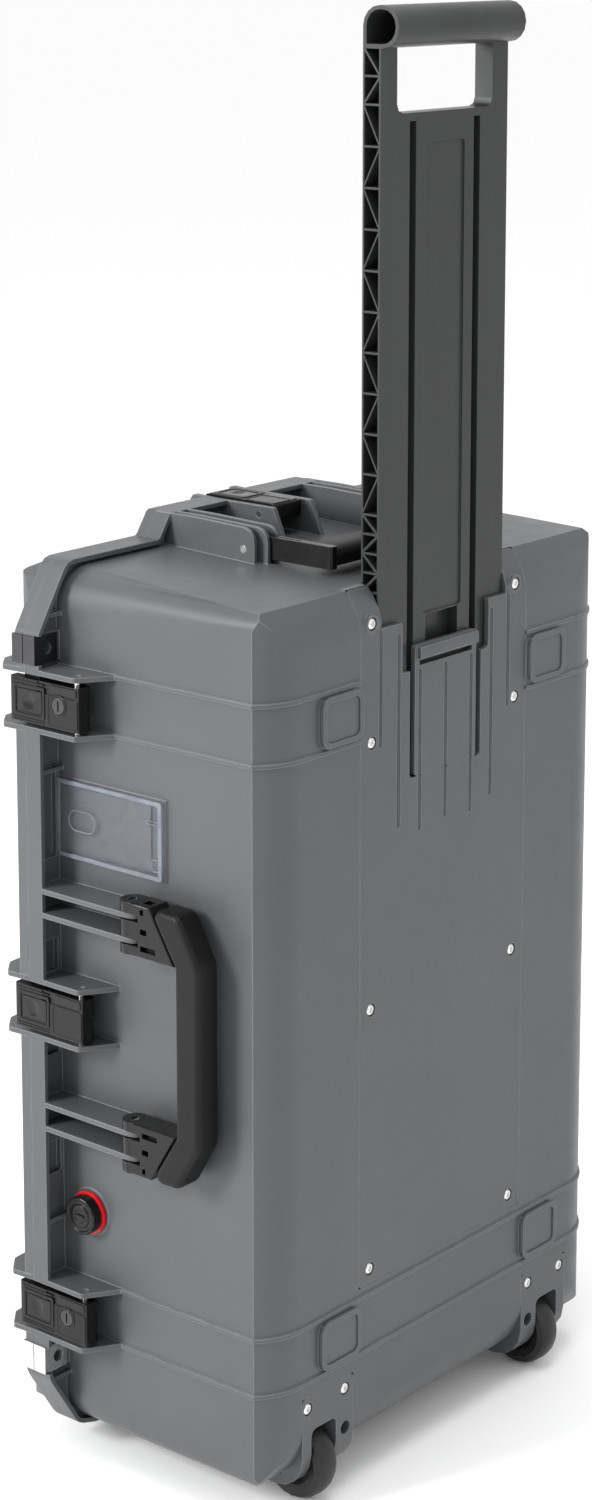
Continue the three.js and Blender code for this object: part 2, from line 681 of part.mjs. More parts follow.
function lidRibs() {
  const plan = [
    [CASE_HALF - 12, LID_FACE - LID_DEPTH + 14], [CASE_HALF + 14, LID_FACE - LID_DEPTH + 16, 4],
    [FLANGE_HALF + 2, LID_FACE - 21, 4], [FLANGE_HALF, LID_FACE], [CASE_HALF - 12, LID_FACE],
  ];
  const side = LATCH_Z.flatMap((z) => bothSides((s) => {
    const middle = z + s * LATCH_RIB_HALF;
    return alongZ(plan, middle - RIB / 2, middle + RIB / 2, 2);
  }));
  const profile = [
    [LID_FACE - LID_DEPTH + 16, CASE_TOP - 10], [LID_FACE, CASE_TOP - 10], [LID_FACE, FLANGE_RAISED_TOP],
    [LID_FACE - 21, FLANGE_RAISED_TOP + 1, 4], [LID_FACE - LID_DEPTH + 18, CASE_TOP + 8, 4],
  ];
  const top = bothSides((s) => {
    const middle = s * LATCH_RIB_HALF;
    return alongX(profile, middle - RIB / 2, middle + RIB / 2, 2);
  });
  return [...side, ...top];
}

// Shallow stiffening ridges on the lid's outer face.
function lidRidges() {
  const face = PARTING - LID_DEPTH;
  const tall = CASE_TOP - CASE_BOTTOM;
  return [-132, -66, 66, 132].map((x) => alongY(
    rect(x - 15, x + 15, CASE_BOTTOM + tall * 0.14, CASE_TOP - tall * 0.14, 14), face - 2.5, face + 1, 3,
  ));
}

function lidShell() {
  const whole = join(
    lidForm(0, LID_FACE),
    flange(LID_FACE, LID_FACE - FLANGE_PLATE, LID_FACE - LID_SKIRT),
    lidRidges(),
    lockBlocks(LID_FACE - LID_SKIRT, LID_FACE),
  );
  const ribbed = join(
    cut(whole, latchNotches(LID_FACE - LID_SKIRT - 1, LID_FACE + 1)),
    lidRibs(),
    hingeKnuckles(1, -1),
  );
  return cut(
    ribbed,
    lidForm(-WALL, LID_FACE + 5),
    sealRing(GAP, LID_FACE - SEAL_HEIGHT - GAP, LID_FACE + 1),
    lockHoles(LID_FACE - LID_SKIRT - 1, LID_FACE + 1),
    hingeHoles(),
  );
}

// ---------- back panel and release tongue ----------
function flute(x, z0, z1) {
  const groove = rect(x - FLUTE_HALF, x + FLUTE_HALF, z0, z1, FLUTE_HALF - 0.2);
  return alongY(groove, -FLUTE_DEPTH, 2, 1);
}

function backPanel() {
  const shell = baseForm(0, PARTING).subtract(baseForm(-PANEL_T, PARTING));
  const face = rect(-PANEL_HALF, PANEL_HALF, PANEL_BOTTOM, PANEL_TOP, 3);
  const plate = shell.intersect(alongY(face, -17, 5, 2));
  const bosses = bothSides((side) => bar('y', 7.2, -PANEL_T, 0, side * SCREW_X, SCREW_ROWS[0], 20));
  const window = join(
    alongY(rect(-CHANNEL_HALF, CHANNEL_HALF, STRIP_TOP, CASE_TOP + 5, 0), -20, 5),
    alongY(rect(-STRIP_HALF, STRIP_HALF, STRIP_LOW_TOP, STRIP_TOP + 5, 3), -20, 5, 2),
    alongY(rect(-SLOT_OUT, SLOT_OUT, TONGUE_BOTTOM, STRIP_LOW_TOP + 5, 3), -20, 5, 2),
  );
  const flutes = [
    ...bothSides((side) => flute(side * 79.8, 583, 702)),
    ...bothSides((side) => flute(side * 58, 516, 668)),
    ...[-32, 0, 32].map((x) => flute(x, 512 - Math.abs(x) / 8, TONGUE_BOTTOM + 4)),
  ];
  const sinks = panelScrewSpots().map(([x, z]) => join(
    bar('y', SCREW_HEAD_R + 0.7, -SCREW_SINK, 4, x, z),
    bar('y', SCREW_SHANK_R + PIN_GAP, -10, 4, x, z, 8),
  ));
  return cut(join(plate, bosses), window, flutes, sinks);
}

function releaseTongue() {
  const low = TONGUE_BOTTOM + GAP;
  const plate = alongY(rect(-TONGUE_HALF, TONGUE_HALF, low, TONGUE_TOP, 3), -PANEL_T, 0, 2);
  const lipLow = TONGUE_TOP - LIP_HEIGHT;
  const lip = alongX(
    [[-1, lipLow], [LIP_PROUD, lipLow + 1, 1], [LIP_PROUD, TONGUE_TOP - 1, 3], [-1, TONGUE_TOP]],
    -TONGUE_HALF + 2, TONGUE_HALF - 2, 2,
  );
  const slit = box(-TONGUE_HALF + 5, TONGUE_HALF - 5, -10, 5, lipLow - SLIT_HEIGHT - 1, lipLow - 1);
  const flutes = [-32, 0, 32].map((x) => flute(x, low - 3, lipLow - SLIT_HEIGHT - 3));
  return cut(join(plate, lip), slit, flutes);
}

// ---------- trolley handle ----------
function trussLevels() {
  const levels = [GRIP_BOTTOM + 0.5];
  const steps = [TRUSS_SHORT, TRUSS_SHORT, ...Array(10).fill(TRUSS_LONG), ...Array(10).fill(TRUSS_END)];
  steps.forEach((step) => levels.push(levels[levels.length - 1] - step));
  return levels.filter((z) => z > BEAM_BOTTOM + 2);
}

function trussPockets(side) {
  const levels = trussLevels();
  const y0 = BEAM_BACK + TRUSS_RIM;
  const y1 = BEAM_FRONT - TRUSS_RIM;
  const [x0, x1] = span(side, BEAM_HALF - TRUSS_DEPTH, BEAM_HALF + 1);
  return levels.slice(1).map((low, i) => {
    const high = levels[i];
    const cell = box(x0, x1, y0, y1, low + TRUSS_STRUT, high - TRUSS_STRUT);
    const [a, b] = i % 2 === 0 ? [high, low] : [low, high];
    const t = TRUSS_STRUT * 1.6;
    const slant = [[y0 - 1, a - t], [y1 + 1, b - t], [y1 + 1, b + t], [y0 - 1, a + t]];
    const strut = alongX(slant, x0 - 1, x1 + 1);
    return cell.subtract(strut);
  });
}

function trolleyHandle() {
  const beam = box(-BEAM_HALF, BEAM_HALF, BEAM_BACK, BEAM_FRONT, BEAM_BOTTOM, GRIP_BOTTOM + 5);
  const gripOutline = [
    [BEAM_BACK, GRIP_BOTTOM], [GRIP_FRONT, GRIP_BOTTOM, GRIP_R],
    [GRIP_FRONT, GRIP_TOP, GRIP_R], [BEAM_BACK, GRIP_TOP, GRIP_R],
  ];
  const grip = alongX(gripOutline, -BEAM_HALF, BEAM_HALF, 4);
  const hollow = offset(gripOutline, -GRIP_WALL);
  const ends = bothSides((side) => {
    const [a, b] = span(side, BEAM_HALF - GRIP_POCKET, BEAM_HALF + 1);
    return alongX(hollow, a, b, 4);
  });
  const window = alongY(
    [
      [-WINDOW_HALF, WINDOW_BOTTOM, 7], [WINDOW_HALF, WINDOW_BOTTOM, 7],
      [WINDOW_HALF, GRIP_BOTTOM], [-WINDOW_HALF, GRIP_BOTTOM],
    ],
    BEAM_BACK - 1, BEAM_FRONT + 1, 2,
  );
  const grooves = bothSides((side) => {
    const [a, b] = span(side, GROOVE_IN, GROOVE_OUT);
    return box(a, b, BEAM_FRONT - GROOVE_DEPTH, BEAM_FRONT + 1, BEAM_BOTTOM + 20, WINDOW_BOTTOM - 6);
  });
  const inset = alongY(
    rect(-INSET_HALF, INSET_HALF, INSET_BOTTOM, INSET_TOP, 3), BEAM_FRONT - INSET_DEPTH, BEAM_FRONT + 1, 2,
  );
  const catchWindow = box(
    -CATCH_HALF, CATCH_HALF, BEAM_FRONT - CATCH_DEPTH, BEAM_FRONT + 1, CATCH_BOTTOM, INSET_BOTTOM - 1,
  );
  return cut(
    join(beam, grip), ends, window, grooves, inset, catchWindow,
    bothSides((side) => trussPockets(side)).flat(),
  );
}

// ---------- wheels ----------
function wheelBracket(side) {
  const [a, b] = span(side, BRACKET_IN, BRACKET_OUT);
  const block = alongX(
    [
      [-BRACKET_DEPTH, BRACKET_BOTTOM, 12], [0, BRACKET_BOTTOM, BRACKET_ARC],
      [0, BRACKET_TOP], [-BRACKET_DEPTH, BRACKET_TOP],
    ],
    a, b, 4,
  );
  const trim = alongY(rect(a, b, BRACKET_BOTTOM - 20, BRACKET_TOP, 4), -BRACKET_DEPTH - 1, 1, 2);
  const slotHalf = WHEEL_HALF + WHEEL_SLOT_SIDE;
  const centre = side * WHEEL_X;
  const slot = alongY(
    rect(centre - slotHalf, centre + slotHalf, BRACKET_BOTTOM - 10, WHEEL_SLOT_TOP, 5),
    -BRACKET_DEPTH + 2, 2, 2,
  );
  const sinks = BRACKET_SCREWS.map((x) => join(
    bar('y', SCREW_HEAD_R + 0.7, -SCREW_SINK, 4, side * x, BRACKET_SCREW_Z),
    bar('y', SCREW_SHANK_R + PIN_GAP, -SCREW_LENGTH - 3, 4, side * x, BRACKET_SCREW_Z, 8),
  ));
  const plugHole = bar('y', 5.6, -9, 2, side * BRACKET_SCREWS[1], 52.5, 20);
  return cut(
    block.intersect(trim), slot, sinks, plugHole,
    bar('x', AXLE_R + PIN_GAP, Math.min(a, b) - 1, Math.max(a, b) + 1, WHEEL_Y, WHEEL_R),
  );
}

function wheelTyre(side) {
  const w = WHEEL_HALF;
  const profile = [
    [HUB_R + GAP / 2, -w + 2], [WHEEL_R - 7, -w], [WHEEL_R - 2.4, -w + 2.2], [WHEEL_R - 0.5, -w + 6],
    [WHEEL_R, 0], [WHEEL_R - 0.5, w - 6], [WHEEL_R - 2.4, w - 2.2], [WHEEL_R - 7, w],
    [HUB_R + GAP / 2, w - 2], [HUB_R + GAP / 2, -w + 2],
  ];
  return turned(profile, 'x', 24).translate([side * WHEEL_X, WHEEL_Y, WHEEL_R]);
}

function wheelHub(side) {
  const w = WHEEL_HALF;
  const bore = AXLE_R + PIN_GAP;
  const r = HUB_R - GAP / 2;
  const profile = [
    [bore, -w - 1], [8, -w - 1], [9, -w + 5], [r - 3, -w + 5], [r, -w + 2.5],
    [r, w - 2.5], [r - 3, w - 5], [9, w - 5], [8, w + 1], [bore, w + 1], [bore, -w - 1],
  ];
  return turned(profile, 'x', 16).translate([side * WHEEL_X, WHEEL_Y, WHEEL_R]);
}

function wheelAxle(side) {
  const [a, b] = span(side, BRACKET_IN + 2, BRACKET_OUT - 2);
  return bar('x', AXLE_R, a, b, WHEEL_Y, WHEEL_R);
}

// ---------- fasteners ----------
function screw(x, z) {
  const seat = -SCREW_SINK + GAP;
  const dome = seat + SCREW_HEAD;
  const profile = [
    [0, -SCREW_LENGTH], [SCREW_SHANK_R, -SCREW_LENGTH], [SCREW_SHANK_R, seat],
    [SCREW_HEAD_R, seat], [SCREW_HEAD_R, dome - 1], [0, dome],
  ];
  return turned(profile, 'y', 8).translate([x, 0, z]);
}

// ---------- carrying handles, in the local frame with the pivot at the origin ----------
// The front handle's sleeve: a band from one arm round both slanted corners to the other arm.
function sleeveOutline({ half, armIn, gripIn, reach }) {
  const [bendU, bendV] = [reach - HANDLE_BEND[0], half - HANDLE_BEND[1]];
  return [
    [SLEEVE_START, -half, 6], [bendU, -half, 9], [reach, -bendV, 14], [reach, bendV, 14],
    [bendU, half, 9], [SLEEVE_START, half, 6], [gripIn, armIn - 1, 3], [gripIn, 1 - armIn, 3],
  ];
}

// The bar inside the sleeve, reaching into both arms.
function coreOutline({ half, armIn, gripIn, reach }) {
  const [bendU, bendV] = [reach - HANDLE_BEND[0] - 2, half - HANDLE_BEND[1] - 3];
  const [inner, outer, end] = [gripIn + SLEEVE_WALL, reach - SLEEVE_WALL, half - SLEEVE_WALL - 2];
  const [turn, low] = [armIn + 4, armIn + 18];
  return [
    [SLEEVE_START - 8, -end], [bendU, -end], [outer, -bendV], [outer, bendV], [bendU, end],
    [SLEEVE_START - 8, end], [SLEEVE_START - 8, low], [gripIn - 14, low], [inner, turn],
    [inner, -turn], [gripIn - 14, -low], [SLEEVE_START - 8, -low],
  ];
}

// A plate on an outline in (u, v) with its long edges rounded.
function softPlate(corners, w0, w1, edge, steps) {
  const geometry = new THREE.ExtrudeGeometry(outline(corners, steps), {
    depth: w1 - w0 - 2 * edge,
    bevelThickness: edge,
    bevelSize: edge,
    bevelOffset: -edge,
    bevelSegments: 3,
    curveSegments: ARC_STEPS,
  });
  geometry.translate(0, 0, w0 + edge);
  return toSolid(geometry);
}

function frontHandleFrame(spec) {
  const { half, armIn, gripIn, low, high, ribs, knuckle } = spec;
  const arms = bothSides((side) => {
    const plan = [
      [0, side * armIn, 2], [gripIn - 3 * GAP, side * armIn],
      [SLEEVE_START - GAP, side * half], [0, side * half, 2],
    ];
    const [a, b] = span(side, armIn, half);
    return join(softPlate(plan, low + 1, high - 1, 1.5, 2), bar('y', knuckle, a, b, 0, 0, 24));
  });
  const core = alongZ(coreOutline(spec), low + SLEEVE_WALL, high - SLEEVE_WALL);
  const slots = ribs.flatMap((v) => bothSides((side) => {
    const play = RIB / 2 + 0.7;
    return box(-knuckle - 2, knuckle + 2.5, side * v - play, side * v + play, low - 2, high + 2);
  }));
  const grooves = [half - 5, half - 20, half - 33].flatMap((v, i) => bothSides((side) => {
    const end = knuckle + [8, 11, 20][i];
    return box(knuckle + 4.5, end, side * v - 2.2, side * v + 2.2, high - 6, high + 2);
  }));
  const wells = bothSides((side) => {
    const [a, b] = span(side, half - 4, half + 2);
    return box(knuckle + 2, SLEEVE_START - 4, a, b, -4, 4);
  });
  const hole = bar('y', HANDLE_PIN_R + PIN_GAP, -half - 2, half + 2, 0, 0);
  return cut(join(...arms, core), slots, grooves, wells, hole);
}

function frontHandleGrip(spec) {
  const { low, high } = spec;
  const sleeve = softPlate(sleeveOutline(spec), low, high, SLEEVE_EDGE, 4);
  const room = offset(coreOutline(spec), GAP);
  return sleeve.subtract(alongZ(room, low + SLEEVE_WALL - GAP, high - SLEEVE_WALL + GAP));
}

function handleFrame(spec) {
  const { half, armIn, gripIn, reach, low, high, ribs, knuckle } = spec;
  const arms = bothSides((side) => {
    const [a, b] = span(side, armIn, half);
    const width = half - armIn;
    const [ra, rb] = side > 0 ? [width * 0.2, width * 0.35] : [width * 0.35, width * 0.2];
    const body = alongZ([[0, a], [reach, a, ra], [reach, b, rb], [0, b]], low, high, 3);
    const barrel = bar('y', knuckle, a, b, 0, 0, 20);
    return join(body, barrel);
  });
  const core = box(gripIn + 6, reach - 6, -armIn - 2, armIn + 2, low + 5, high - 5);
  const slots = ribs.flatMap((v) => bothSides((side) => {
    const middle = side * v;
    const play = RIB / 2 + 0.7;
    return box(-knuckle - 2, knuckle + 2.5, middle - play, middle + play, low - 2, high + 2);
  }));
  const pocketWidth = (half - armIn) * 0.3;
  const pockets = bothSides((side) => {
    const middle = side * (half + armIn) / 2;
    return box(knuckle + 5, gripIn - 3, middle - pocketWidth / 2, middle + pocketWidth / 2, 0, high + 2);
  });
  const hole = bar('y', HANDLE_PIN_R + PIN_GAP, -half - 2, half + 2, 0, 0);
  return cut(join(...arms, core), slots, pockets, hole);
}

function handleGrip(spec) {
  const { gripIn, reach, low, high, armIn } = spec;
  const sleeveHalf = armIn - GAP;
  const section = rect(gripIn, reach, low, high, Math.min(8, (high - low) / 2 - 0.2));
  const outer = alongY(section, -sleeveHalf, sleeveHalf, 3);
  const g = GAP;
  return outer.subtract(box(
    gripIn + 6 - g, reach - 6 + g, -sleeveHalf - 1, sleeveHalf + 1, low + 5 - g, high - 5 + g,
  ));
}

// ---------- latches, in the local frame with the pivot at the origin ----------
const LATCH_FACE = LATCH_PIVOT_DROP + LATCH_PROUD;
const BUTTON_U0 = -LATCH_LID_REACH + BUTTON_EDGE;

function latchLever(keyed) {
  const under = LATCH_PIVOT_DROP - LATCH_NOTCH + 1;
  const profile = [
    [-LATCH_LID_REACH, under], [-12, under], [-9, -7.5, 2], [LATCH_TAIL, -7.5, 5],
    [LATCH_TAIL, LATCH_FACE, 2], [-LATCH_LID_REACH, LATCH_FACE, 2],
  ];
  const geometry = extrusion(outline(profile, 2), 2 * LATCH_HALF);
  geometry.rotateX(Math.PI / 2);
  geometry.translate(0, LATCH_HALF, 0);
  const body = toSolid(geometry);
  const pocket = alongZ(
    rect(BUTTON_U0, BUTTON_U0 + BUTTON_LENGTH, -BUTTON_HALF, BUTTON_HALF, 2),
    LATCH_FACE - 5.2, LATCH_FACE + 1, 2,
  );
  const step = box(-34, LATCH_TAIL + 1, LATCH_HALF - 9, LATCH_HALF + 1, LATCH_FACE - 0.8, LATCH_FACE + 1);
  const tools = [pocket, step, bar('y', LATCH_PIN_R + PIN_GAP, -LATCH_HALF - 1, LATCH_HALF + 1, 0, 0)];
  if (keyed) tools.push(bar('z', KEY_R + GAP, LATCH_FACE - 4.6, LATCH_FACE + 1, KEY_U, KEY_V, 24));
  return cut(body, tools);
}

function latchButton() {
  const g = GAP;
  const face = rect(
    BUTTON_U0 + g, BUTTON_U0 + BUTTON_LENGTH - g, -BUTTON_HALF + g, BUTTON_HALF - g, 1.7,
  );
  const block = alongZ(face, LATCH_FACE - 2.6, LATCH_FACE + 0.3, 2);
  const dish = new THREE.SphereGeometry(9, 12, 8);
  dish.scale(1, 1, 0.4);
  dish.translate(BUTTON_U0 + BUTTON_LENGTH * 0.45, 0, LATCH_FACE + 2.6);
  return block.subtract(toSolid(dish));
}

function keyCylinder() {
  const plug = bar('z', KEY_R, LATCH_FACE - 4.2, LATCH_FACE + 0.5, KEY_U, KEY_V, 24);
  return plug.subtract(box(KEY_U - 0.7, KEY_U + 0.7, KEY_V - 4, KEY_V + 4, LATCH_FACE - 2, LATCH_FACE + 2));
}

// ---------- padlock protectors ----------
function lockPlateBase(z) {
  const edge = FLANGE_HALF + GAP / 2;
  const strip = box(
    edge, edge + LOCK_SHEET, PARTING + 0.2, LOCK_PLATE_Y + LOCK_SHEET,
    z - LOCK_PLATE_HALF, z + LOCK_PLATE_HALF,
  );
  const plate = box(
    CASE_HALF + 4, edge + LOCK_SHEET, LOCK_PLATE_Y, LOCK_PLATE_Y + LOCK_SHEET,
    z - LOCK_PLATE_HALF, z + LOCK_PLATE_HALF,
  );
  return join(strip, plate).subtract(bar('y', LOCK_HOLE_R, PARTING, LOCK_PLATE_Y + 5, LOCK_X, z, 12));
}

function lockPlateLid(z) {
  const edge = FLANGE_HALF + GAP / 2;
  const far = LID_FACE - LID_SKIRT - GAP;
  const [z0, z1] = [z - LOCK_PLATE_HALF, z + LOCK_PLATE_HALF];
  const strip = box(edge, edge + LOCK_SHEET, far - LOCK_SHEET, LID_FACE - 0.2, z0, z1);
  const plate = box(CASE_HALF + 10, edge + LOCK_SHEET, far - LOCK_SHEET, far, z0, z1);
  return join(strip, plate).subtract(bar('y', LOCK_HOLE_R, far - 5, LID_FACE, LOCK_X, z, 12));
}

// ---------- valve and card holder ----------
function valvePieces() {
  const { y, z, seat, capR, ringR, stemR } = VALVE;
  const at = seat + GAP;
  const ring = bar('x', ringR, at, at + 3, y, z, 24).subtract(bar('x', 12.5, at - 1, at + 4, y, z, 16));
  const body = join(
    bar('x', stemR, CASE_HALF - 16, at + 1, y, z, 12),
    bar('x', 12.5 - GAP, at, at + 3 + GAP, y, z, 16),
  );
  const cap = turned(
    [[0, 0], [capR - 1, 0], [capR, 1], [capR, 8], [capR - 2, 10], [capR - 5, 10], [capR - 6, 8.6], [0, 8.6]],
    'x', 20,
  ).translate([at + 3 + 2 * GAP, y, z]);
  const inner = CASE_HALF - 1.5 - WALL;
  const nut = bar('x', 13, inner - 7, inner - 1.4, y, z, 6).subtract(
    bar('x', stemR + PIN_GAP, inner - 9, inner + 2, y, z, 12),
  );
  return { ring, body, cap, nut };
}

function cardHolder() {
  const { y0, y1, z0, z1, seat } = CARD;
  const x0 = seat + GAP;
  const plate = alongX(rect(y0, y1, z0, z1, 3), x0, x0 + 3.4, 2);
  const pocket = alongX(rect(y0 + 3, y1 - 10, z0 + 3, z1 - 3, 2), x0 + 1.2, x0 + 5, 2);
  return plate.subtract(pocket);
}

function cardCover() {
  const { y0, y1, z0, z1, seat } = CARD;
  const x0 = seat + GAP + 1.2 + GAP;
  const g = GAP;
  const plate = alongX(rect(y0 + 3 + g, y1 - 10 - g, z0 + 3 + g, z1 - 3 - g, 2), x0, x0 + 1.6, 2);
  const slot = alongX(rect(y0 + 12, y0 + 48, z0 + 12, z0 + 26, 6.9), x0 + 0.9, x0 + 3, 4);
  return plate.subtract(slot);
}

// ---------- assembly ----------
const look = (color, roughness, metalness = 0) => ({ color, roughness, metalness });
const LOOKS = {
  case_resin: look(0x6d7276, 0.62),
  black_plastic: look(0x1d1e1f, 0.55),
  grip_rubber: look(0x232425, 0.8),
  steel: look(0xc9cbcc, 0.28, 1),
  dark_steel: look(0x5c5f61, 0.4, 1),
  red_ring: look(0xb3262b, 0.5),
  tyre: look(0x2a2b2c, 0.85),
  hub: look(0x1a1b1c, 0.6),
  seal: look(0x151617, 0.9),
  clear: { ...look(0xdfe6ea, 0.12), transparent: true, opacity: 0.4 },
};

const group = new THREE.Group();

function add(name, solid, slot) {
  const mesh = new THREE.Mesh(toGeometry(solid), new THREE.MeshStandardMaterial(LOOKS[slot]));
  mesh.name = name;
  group.add(mesh);
}

function addLatch(name, keyed, put, pin) {
  add(`${name}_lever`, put(latchLever(keyed)), 'black_plastic');
  add(`${name}_button`, put(latchButton()), 'hub');
  if (keyed) add(`${name}_key_cylinder`, put(keyCylinder()), 'dark_steel');
  add(`${name}_pin`, pin, 'steel');
}

add('base_shell', baseShell(), 'case_resin');
add('lid_shell', lidShell(), 'case_resin');
add('lid_seal', sealRing(0, LID_FACE - SEAL_HEIGHT, LID_FACE - 0.1), 'seal');
HINGE_Z.forEach((z, i) => {
  const reach = (KNUCKLE * KNUCKLES) / 2 - 1;
  const pin = bar('z', HINGE_PIN_R, z - reach, z + reach, HINGE_X, PARTING - GAP / 2);
  add(`hinge_pin_${['upper', 'lower'][i]}`, pin, 'steel');
});
add('back_panel', backPanel(), 'case_resin');
add('release_tongue', releaseTongue(), 'case_resin');
add('trolley_handle', trolleyHandle(), 'black_plastic');
panelScrewSpots().forEach(([x, z], i) => add(`panel_screw_${i + 1}`, screw(x, z), 'steel'));

bothSides((side) => {
  const where = side > 0 ? 'latch_side' : 'hinge_side';
  add(`wheel_bracket_${where}`, wheelBracket(side), 'case_resin');
  add(`tyre_${where}`, wheelTyre(side), 'tyre');
  add(`wheel_hub_${where}`, wheelHub(side), 'hub');
  add(`axle_${where}`, wheelAxle(side), 'steel');
  BRACKET_SCREWS.forEach((x, i) => {
    add(`bracket_screw_${where}_${i + 1}`, screw(side * x, BRACKET_SCREW_Z), 'steel');
  });
  return null;
});

const frontAt = (solid) => place(
  solid, SIDE_AXES, FRONT_HANDLE.pivotX, FRONT_HANDLE.pivotY, FRONT_HANDLE.centreZ,
);
const topAt = (solid) => place(solid, TOP_AXES, 0, TOP_HANDLE.pivotY, TOP_HANDLE.pivotZ);
add('front_handle_frame', frontAt(frontHandleFrame(FRONT_HANDLE)), 'black_plastic');
add('front_handle_grip', frontAt(frontHandleGrip(FRONT_HANDLE)), 'grip_rubber');
add('top_handle_frame', topAt(handleFrame(TOP_HANDLE)), 'black_plastic');
add('top_handle_grip', topAt(handleGrip(TOP_HANDLE)), 'grip_rubber');
bothSides((side) => {
  const [a, b] = span(side, FRONT_HANDLE.armIn + 1, FRONT_HANDLE.half - 1);
  const { pivotX, pivotY, centreZ } = FRONT_HANDLE;
  const where = side > 0 ? 'upper' : 'lower';
  add(`front_handle_pin_${where}`, bar('z', HANDLE_PIN_R, centreZ + a, centreZ + b, pivotX, pivotY), 'steel');
  const [c, d] = span(side, TOP_RIBS[2] - 2.5, TOP_RIBS[0] + 1.8);
  const name = side > 0 ? 'latch_side' : 'hinge_side';
  add(`top_handle_pin_${name}`, bar('x', HANDLE_PIN_R, c, d, TOP_HANDLE.pivotY, TOP_HANDLE.pivotZ), 'steel');
  return null;
});

const pinReach = LATCH_RIB_HALF + RIB / 2 - 0.3;
['upper_latch', 'centre_latch', 'lower_latch'].forEach((name, i) => {
  const x = FLANGE_HALF - LATCH_PIVOT_DROP;
  const z = LATCH_Z[i];
  const put = (solid) => place(solid, SIDE_AXES, x, LATCH_PIVOT_Y, z);
  addLatch(name, KEYED[i], put, bar('z', LATCH_PIN_R, z - pinReach, z + pinReach, x, LATCH_PIVOT_Y));
});
const topLatchZ = FLANGE_RAISED_TOP - LATCH_PIVOT_DROP;
addLatch(
  'top_latch', false, (solid) => place(solid, TOP_AXES, 0, LATCH_PIVOT_Y, topLatchZ),
  bar('x', LATCH_PIN_R, -pinReach, pinReach, LATCH_PIVOT_Y, topLatchZ),
);

LOCK_Z.forEach((z, i) => {
  const where = ['upper', 'lower'][i];
  const slot = ['dark_steel', 'steel'][i];
  add(`padlock_plate_base_${where}`, lockPlateBase(z), slot);
  add(`padlock_plate_lid_${where}`, lockPlateLid(z), slot);
});

const valve = valvePieces();
add('valve_body', valve.body, 'black_plastic');
add('valve_ring', valve.ring, 'red_ring');
add('valve_cap', valve.cap, 'black_plastic');
add('valve_nut', valve.nut, 'black_plastic');
add('card_holder', cardHolder(), 'clear');
add('card_cover', cardCover(), 'clear');

const bounds = new THREE.Box3().setFromObject(group);
const centre = bounds.getCenter(new THREE.Vector3());
group.position.set(-centre.x, -centre.y, -bounds.min.z);
group.updateMatrixWorld(true);

export default group;
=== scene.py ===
import bpy
import bmesh
import json
import math
from mathutils import Matrix, Vector


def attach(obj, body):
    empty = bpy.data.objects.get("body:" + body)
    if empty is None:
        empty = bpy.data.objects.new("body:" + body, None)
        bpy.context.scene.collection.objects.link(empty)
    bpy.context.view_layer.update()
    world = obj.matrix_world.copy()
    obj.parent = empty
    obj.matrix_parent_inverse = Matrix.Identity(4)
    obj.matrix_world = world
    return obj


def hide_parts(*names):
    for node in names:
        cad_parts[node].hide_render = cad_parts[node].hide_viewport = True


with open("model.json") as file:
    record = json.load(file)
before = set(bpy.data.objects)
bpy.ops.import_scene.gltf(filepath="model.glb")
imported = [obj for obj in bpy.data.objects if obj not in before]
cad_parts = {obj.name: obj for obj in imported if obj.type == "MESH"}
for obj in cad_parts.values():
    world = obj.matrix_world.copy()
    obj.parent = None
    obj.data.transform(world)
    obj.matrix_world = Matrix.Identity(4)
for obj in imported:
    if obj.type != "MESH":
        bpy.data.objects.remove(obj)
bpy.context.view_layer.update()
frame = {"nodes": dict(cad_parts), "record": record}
NODES = frame["nodes"]

# The working axes of the case lie this far from the frame's origin (metres).
SHIFT = Vector((0.00525, 0.12865, 0.0))
MM = 0.001
SCENE = bpy.context.scene


def at(x, y, z):
    """A point in the case's working millimetres, as a point of the shared frame in metres."""
    return Vector((x, y, z)) * MM + SHIFT


# ---------- materials ----------
def new_material(name):
    mat = bpy.data.materials.new(name)
    mat.use_nodes = True
    tree = mat.node_tree
    shader = tree.nodes["Principled BSDF"]
    return mat, tree, shader


def noise(tree, scale, detail=4.0, rough=0.5, stretch=None):
    """A noise value over the piece's own coordinates."""
    coords = tree.nodes.new("ShaderNodeTexCoord")
    tex = tree.nodes.new("ShaderNodeTexNoise")
    tex.inputs["Scale"].default_value = scale
    tex.inputs["Detail"].default_value = detail
    tex.inputs["Roughness"].default_value = rough
    if stretch is None:
        tree.links.new(coords.outputs["Object"], tex.inputs["Vector"])
    else:
        mapping = tree.nodes.new("ShaderNodeMapping")
        mapping.inputs["Scale"].default_value = stretch
        tree.links.new(coords.outputs["Object"], mapping.inputs["Vector"])
        tree.links.new(mapping.outputs["Vector"], tex.inputs["Vector"])
    return tex.outputs["Fac"]


def spread(tree, value, low, high, start=0.3, end=0.7):
    """The value mapped from start..end to low..high."""
    node = tree.nodes.new("ShaderNodeMapRange")
    node.inputs["From Min"].default_value = start
    node.inputs["From Max"].default_value = end
    node.inputs["To Min"].default_value = low
    node.inputs["To Max"].default_value = high
    tree.links.new(value, node.inputs["Value"])
    return node.outputs["Result"]


def blend_colours(tree, value, a, b):
    mix = tree.nodes.new("ShaderNodeMix")
    mix.data_type = "RGBA"
    mix.inputs["A"].default_value = (*a, 1)
    mix.inputs["B"].default_value = (*b, 1)
    tree.links.new(value, mix.inputs["Factor"])
    return mix.outputs["Result"]


